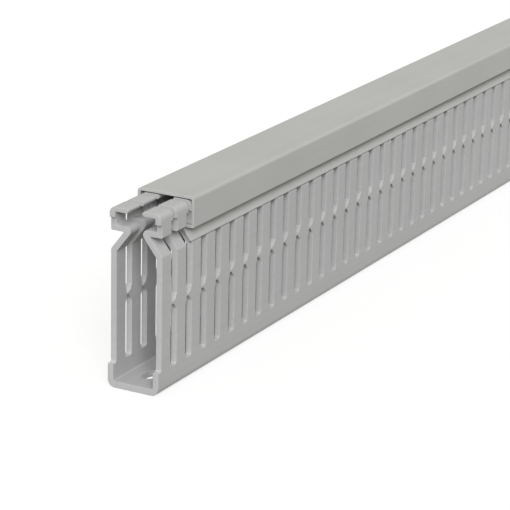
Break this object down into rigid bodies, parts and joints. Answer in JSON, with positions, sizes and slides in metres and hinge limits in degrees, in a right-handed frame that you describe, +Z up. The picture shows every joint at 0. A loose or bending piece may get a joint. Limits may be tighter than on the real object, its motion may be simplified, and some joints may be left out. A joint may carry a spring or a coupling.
{
  "type": "slotted wire duct",
  "caption": "Narrow, tall slotted wiring duct: U-shaped trunking with break-out fingers and inward-hooked heads, under a clip-on cover slid partly back.",
  "frame": {"origin": "middle of the trunking's underside, half way along its length", "axes": "+Z up out of the base, +Y along the stock towards its back end, +X across it"},
  "size_m": [0.0278, 1.026, 0.0818],
  "materials": {
    "trunking_pvc": "satin light grey extruded PVC",
    "cover_pvc": "satin light grey extruded PVC"
  },
  "bodies": {
    "trunking": {"trunking": "trunking_pvc"},
    "cover": {"cover": "cover_pvc"}
  },
  "joints": [
    {"name": "cover_slide", "type": "slide", "parent": "trunking", "child": "cover", "axis": [0, 1, 0], "range_m": [-0.026, 0.85]}
  ]
}
